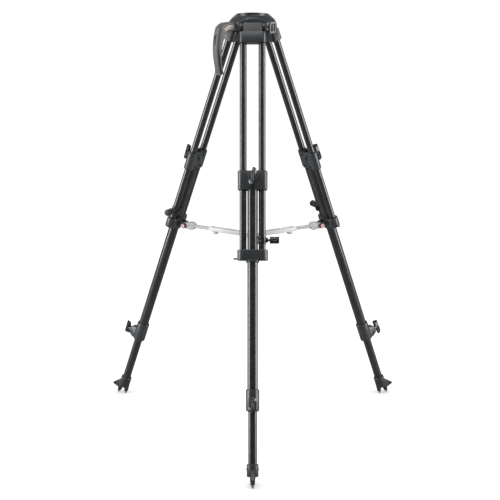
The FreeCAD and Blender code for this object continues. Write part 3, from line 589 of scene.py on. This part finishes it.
def wing_blade(name, half_length, base, crest, axis_height):
    """Swept blade: a filled outline pushed out, with broad sloping flanks, to a narrow rounded crest."""
    blade = added(name, bpy.ops.mesh.primitive_circle_add, vertices=WING_STEPS, radius=1.0, fill_type="NGON")
    for step, vertex in enumerate(blade.data.vertices):
        x, z = wing_outline(step, half_length)
        vertex.co = (x, base, z + axis_height)
    pick_faces(blade, lambda face: True)
    depth = crest - base
    lean_was = 1.0
    for share, narrow, lean_now, short in WING_LAYERS:
        bpy.ops.mesh.extrude_region_move(TRANSFORM_OT_translate={"value": (0, depth * share, 0)})
        mesh = bmesh.from_edit_mesh(blade.data)
        for vertex in {v for face in mesh.faces if face.select for v in face.verts}:
            height = vertex.co.z - axis_height
            lean = wing_lean(height, half_length)
            vertex.co.x = (vertex.co.x - lean * lean_was) * narrow + lean * lean_now
            vertex.co.z = axis_height + height * short
        bmesh.update_edit_mesh(blade.data)
        lean_was = lean_now
    bpy.ops.mesh.inset(thickness=0.0005, depth=0.0)
    bpy.ops.mesh.select_all(action="SELECT")
    bpy.ops.mesh.normals_make_consistent(inside=False)
    object_mode()
    return blade


def wing_knob(kind, name):
    """Whole wing knob for one clamp, from the reach of its CAD node."""
    low, high = on_leg(kind)
    axis_height = (low.z + high.z) / 2
    hub_end = low.y + WING_DEPTH
    base = hub_end + HUB_DEPTH
    blade = wing_blade(name, (high.z - low.z) / 2, hub_end, low.y, axis_height)
    hub = rod(name + "_hub", HUB_RADIUS, (0, base, axis_height), (0, hub_end - 0.001, axis_height), 40)
    pick_faces(hub, lambda face: face.normal.y < -0.9)
    bpy.ops.transform.resize(value=(HUB_TAPER, 1.0, HUB_TAPER), center_override=(0, hub_end, axis_height))
    object_mode()
    rounded(hub, 0.0006)
    stud = rod(name + "_stud", KNOB_STUD_RADIUS, (0, high.y, axis_height), (0, base - 0.0005, axis_height), 24)
    rounded(blade, 0.0004, 2, 50.0)
    return joined(name, [blade, hub, stud])


def wing_knobs():
    for kind, name, body in (("upper_knob", "upper_wing_knob", "upper_wing"),
                             ("lower_knob", "lower_wing_knob", "lower_wing")):
        on_each_leg(wing_knob(kind, name), body, KNOB, replaces=kind, smooth=22.0)


# ---------------------------------------------------------------- screws, bushes and rings
def socket_screw(name, radius, depth, seat, outward):
    """Cap screw with a hexagon socket; seat is the point under its head."""
    seat, outward = Vector(seat), Vector(outward).normalized()
    head = rod(name, radius, seat, seat + outward * depth, 36)
    pick_faces(head, lambda face: face.normal.dot(outward) > 0.9)
    bpy.ops.mesh.inset(thickness=radius * 0.18, depth=0)
    object_mode()
    rounded(head, radius * 0.12, 2, 60.0)
    socket = added(name + "_socket", bpy.ops.mesh.primitive_cylinder_add, vertices=6, radius=radius * 0.52,
                   depth=depth * 1.2, location=seat + outward * depth,
                   rotation=outward.to_track_quat("Z", "Y").to_euler())
    only(head)
    cut = head.modifiers.new("socket", "BOOLEAN")
    cut.object = socket
    cut.solver = "EXACT"
    bpy.ops.object.modifier_apply(modifier=cut.name)
    bpy.data.objects.remove(socket)
    return head


def ring(name, inner, outer, low, high, centre=(0.0, 0.0), edge=0.0004):
    """A collar round the leg's direction between two heights, with rounded rims."""
    x, y = centre
    collar = added(name, bpy.ops.mesh.primitive_cylinder_add, vertices=48, radius=outer,
                   depth=high - low, location=(x, y, (low + high) / 2), end_fill_type="NOTHING")
    only(collar)
    bpy.ops.object.mode_set(mode="EDIT")
    bpy.ops.mesh.select_all(action="SELECT")
    bpy.ops.mesh.normals_make_consistent(inside=False)
    object_mode()
    wall = collar.modifiers.new("wall", "SOLIDIFY")
    wall.thickness = outer - inner
    wall.offset = -1.0
    bpy.ops.object.modifier_apply(modifier=wall.name)
    rounded(collar, edge, 2, 50.0)
    return collar


def slider_bushes():
    """Dark guide bushes that show on the slider block, round the pair and the middle tube."""
    low, high = on_leg("slider_block")
    spacing = on_leg("upper_tubes")[1].x - UPPER_TUBE
    pair_bore, mid_bore = UPPER_TUBE + BUSH_GAP, MID_TUBE + RING_GAP
    under = (low.z - BUSH_DEPTH, low.z + BUSH_SINK)
    above = (high.z - BUSH_SINK, high.z + BUSH_RISE)
    rings = [ring("bush", pair_bore, pair_bore + BUSH_WALL, *under, (side * spacing, 0)) for side in (-1, 1)]
    rings.append(ring("bush", mid_bore, mid_bore + BUSH_WALL, *under))
    rings += [ring("bush", pair_bore, pair_bore + BUSH_WALL, *above, (side * spacing, 0)) for side in (-1, 1)]
    on_each_leg(joined("slider_bushes", rings), "mid", BLACK_RUBBER)


def wiper_rings():
    """Rubber rings where a tube enters the yoke and the lower clamp."""
    yoke_low = on_leg("leg_yoke")[0].z
    yoke_bore = MID_TUBE + WIPER_GAP
    on_each_leg(ring("yoke_wiper", yoke_bore, yoke_bore + YOKE_WIPER_WALL, yoke_low - YOKE_WIPER_DROP,
                     yoke_low + YOKE_WIPER_SINK), "leg", BLACK_RUBBER)
    clamp_low, clamp_high = on_leg("lower_clamp")
    top_bore, foot_bore = MID_TUBE + RING_GAP, LOWER_TUBE + WIPER_GAP
    rings = [ring("wiper", top_bore, top_bore + WIPER_WALL, clamp_high.z - WIPER_SINK, clamp_high.z + WIPER_RISE),
             ring("wiper", foot_bore, foot_bore + WIPER_WALL, clamp_low.z - WIPER_RISE, clamp_low.z + WIPER_SINK)]
    on_each_leg(joined("clamp_wipers", rings), "mid", BLACK_RUBBER)


def block_screws():
    """Cap screws on the back of the slider block and on the sides of the foot."""
    low, high = on_leg("slider_block")
    middle = (low.z + high.z) / 2
    heads = [socket_screw("screw", SCREW_HEAD, SCREW_DEPTH,
                          (x * SCREW_ACROSS, high.y - SCREW_SINK, middle + z * SCREW_ALONG), (0, 1, 0))
             for x in (-1, 1) for z in (-1, 1)]
    on_each_leg(joined("slider_screws", heads), "mid", BLACK_SCREW)
    collar_top = on_leg("foot")[1].z
    heads = [socket_screw("screw", FOOT_SCREW_HEAD, FOOT_SCREW_DEPTH,
                          (side * FOOT_SCREW_OUT, 0, collar_top - FOOT_SCREW_DROP), (side, 0, 0))
             for side in (-1, 1)]
    on_each_leg(joined("foot_screws", heads), "low", BLACK_SCREW)


# ---------------------------------------------------------------- hand grip
def hand_grip():
    """The rubber grip with rounded flanks and its raised studs."""
    softened("handle_grip", "grip_sleeve", 0.0016, "crown", GRIP_RUBBER, segments=3, angle=35.0)
    place = turn_z(HANDLE_TURN)
    low, high = reach("handle_grip", place)
    studs = []
    for row in range(STUD_ROWS):
        height = high.z - STUD_TOP - row * STUD_PITCH
        for column in (-1, 0, 1):
            shift = STUD_PITCH / 2 if column == 0 else 0.0
            away = low.y + STUD_LIFT + GRIP_CURVE * (height - GRIP_BELLY_HEIGHT) ** 2
            studs.append(added("stud", bpy.ops.mesh.primitive_uv_sphere_add, segments=12, ring_count=8,
                               radius=STUD_RADIUS, location=(column * STUD_PITCH, away, height - shift)))
    piece = joined("grip_studs", studs)
    piece.data.transform(place)
    finished(piece, "crown", BLACK_RUBBER)


def key_slots():
    """Dark sheets at the bottom of the plate's two slots: painted shade where the slots fall dark."""
    place = turn_z(PLATE_TURN)
    low, high = reach("accessory_plate", place)
    middle = (low.z + high.z) / 2
    shade_sheets = []
    for side in (-1, 1):
        shade_sheet = added("shade_sheet", bpy.ops.mesh.primitive_cube_add, size=1.0, scale=SLOT_SHADE_SHEET,
                      location=(side * SLOT_OFFSET, low.y + SLOT_FLOOR, middle))
        shade_sheets.append(rounded(shade_sheet, 0.0002))
    piece = joined("key_slot_painted_shade", shade_sheets)
    piece.data.transform(place)
    finished(piece, "crown", BLACK_RUBBER)


def knuckle_covers():
    """Lighter flat cover in front of each hinge's barrel, rising from the shoulder between the ears."""
    front = on_leg("leg_shoulder")[0].y + COVER_STEP
    bend = COVER_TOP - COVER_ROUND
    section = [(front + COVER_WALL, COVER_FOOT), (front, COVER_FOOT)]
    for step in range(7):
        turn = math.radians(15.0 * step)
        section.append((front + COVER_ROUND * (1 - math.cos(turn)), bend + COVER_ROUND * math.sin(turn)))
    section += [(front + COVER_ROUND, COVER_TOP - COVER_WALL), (front + COVER_WALL, bend)]
    cover = added("knuckle_cover", bpy.ops.mesh.primitive_circle_add, vertices=len(section), radius=1.0,
                  fill_type="NGON")
    for vertex, (y, z) in zip(cover.data.vertices, section):
        vertex.co = (-COVER_WIDTH / 2, y, z)
    pick_faces(cover, lambda face: True)
    bpy.ops.mesh.extrude_region_move(TRANSFORM_OT_translate={"value": (COVER_WIDTH, 0, 0)})
    bpy.ops.mesh.select_all(action="SELECT")
    bpy.ops.mesh.normals_make_consistent(inside=False)
    object_mode()
    rounded(cover, 0.0005, 2, 50.0)
    on_each_leg(cover, "leg", KNUCKLE)


def grip_crest():
    """Rubber strip along the top of the handle's arch, from the crown to the bend."""
    place = turn_z(HANDLE_TURN)
    top = reach("handle_frame", place)[1].z
    strip = added("grip_crest", bpy.ops.mesh.primitive_cube_add, size=1.0, location=(0, 0, 0))
    only(strip)
    bpy.ops.object.mode_set(mode="EDIT")
    bpy.ops.mesh.subdivide(number_cuts=CREST_CUTS)
    object_mode()
    for vertex in strip.data.vertices:
        share = vertex.co.y + 0.5
        out = CREST_START + CREST_LENGTH * share
        fall = CREST_SLOPE * share + CREST_BEND_FALL * max(0.0, share - CREST_BEND_START) ** 2 / 0.18
        crown_line = 1.0 - (2 * abs(vertex.co.x)) ** 4 * 0.35
        rise = (CREST_ABOVE if vertex.co.z > 0 else -CREST_BELOW) * crown_line
        vertex.co = (vertex.co.x * 2 * CREST_HALF, -out, top - fall + rise)
    rounded(strip, 0.0005, 2, 40.0)
    strip.data.transform(place)
    finished(strip, "crown", GRIP_RUBBER)


# ---------------------------------------------------------------- camera, light and floor
def camera():
    data = bpy.data.cameras.new("camera")
    data.sensor_width = SENSOR
    data.lens = SENSOR * FOCAL / IMAGE_SIDE
    data.shift_x = CAMERA_SHIFT
    made = bpy.data.objects.new("camera", data)
    made.location = CAMERA_PLACE
    made.rotation_euler = (CAMERA_TILT, 0.0, 0.0)
    bpy.context.scene.collection.objects.link(made)
    bpy.context.scene.camera = made


def softbox(name, place, target, width, height, power, tint=(1.0, 1.0, 1.0)):
    data = bpy.data.lights.new(name, "AREA")
    data.shape = "RECTANGLE"
    data.size, data.size_y = width, height
    data.energy = power
    data.color = tint
    made = bpy.data.objects.new(name, data)
    made.location = place
    made.rotation_euler = (Vector(target) - Vector(place)).to_track_quat("-Z", "Y").to_euler()
    made.visible_camera = False
    bpy.context.scene.collection.objects.link(made)


def studio():
    """White surround for the camera, a dimmer one for the light, and four softboxes."""
    world = bpy.data.worlds.new("studio")
    world.use_nodes = True
    bpy.context.scene.world = world
    tree = world.node_tree
    seen = node(tree, "ShaderNodeBackground", {"Color": (1, 1, 1, 1), "Strength": 1.0})
    lighting = node(tree, "ShaderNodeBackground", {"Color": (0.98, 0.99, 1, 1), "Strength": 0.10})
    path = node(tree, "ShaderNodeLightPath")
    choice = tree.nodes.new("ShaderNodeMixShader")
    tree.links.new(path.outputs["Is Camera Ray"], choice.inputs[0])
    tree.links.new(lighting.outputs[0], choice.inputs[1])
    tree.links.new(seen.outputs[0], choice.inputs[2])
    tree.links.new(choice.outputs[0], tree.nodes["World Output"].inputs["Surface"])
    middle = (0, 0, 0.55)
    softbox("left_box", (-2.3, -0.38, 1.1), middle, 1.3, 2.4, 80.0)
    softbox("right_box", (2.3, -0.32, 1.0), middle, 1.3, 2.4, 74.0)
    softbox("back_box", (0.0, 2.6, 2.2), middle, 2.0, 1.0, 10.0)
    softbox("top_box", (-0.3, -0.9, 2.9), middle, 1.6, 1.4, 26.0)
    bpy.context.scene.view_settings.view_transform = "Standard"


def floor():
    """Pale seamless floor: partly lit, partly glowing, its glow darkened by ambient occlusion round the feet as a
    painted contact shadow.
    """
    plane = added("floor", bpy.ops.mesh.primitive_plane_add, size=60.0, location=(0, 0, 0))
    material = bpy.data.materials.new("pale_floor")
    material.use_nodes = True
    tree = material.node_tree
    shader = tree.nodes["Principled BSDF"]
    shader.inputs["Base Color"].default_value = (0.22, 0.22, 0.22, 1)
    shader.inputs["Roughness"].default_value = 0.7
    # painted contact shadow: ambient occlusion darkens the floor's glow near the feet
    painted_contact_shadow = node(tree, "ShaderNodeAmbientOcclusion", {"Distance": 0.09}, samples=8)
    glow = maths(tree, "MULTIPLY", painted_contact_shadow.outputs["AO"], FLOOR_GLOW)
    ray = node(tree, "ShaderNodeLightPath").outputs
    unseen = maths(tree, "MULTIPLY_ADD", ray["Is Glossy Ray"], FLOOR_MIRROR - FLOOR_BOUNCE, FLOOR_BOUNCE)
    strength = maths(tree, "MULTIPLY_ADD", ray["Is Camera Ray"], maths(tree, "SUBTRACT", glow, unseen), unseen)
    shader.inputs["Emission Color"].default_value = (1, 1, 1, 1)
    feed(tree, shader.inputs["Emission Strength"], strength)
    plane.data.materials.append(material)


# ---------------------------------------------------------------- the whole
coat_all_nodes()
soften_castings()
wing_knobs()
slider_bushes()
wiper_rings()
block_screws()
hand_grip()
grip_crest()
key_slots()
knuckle_covers()
camera()
studio()
floor()
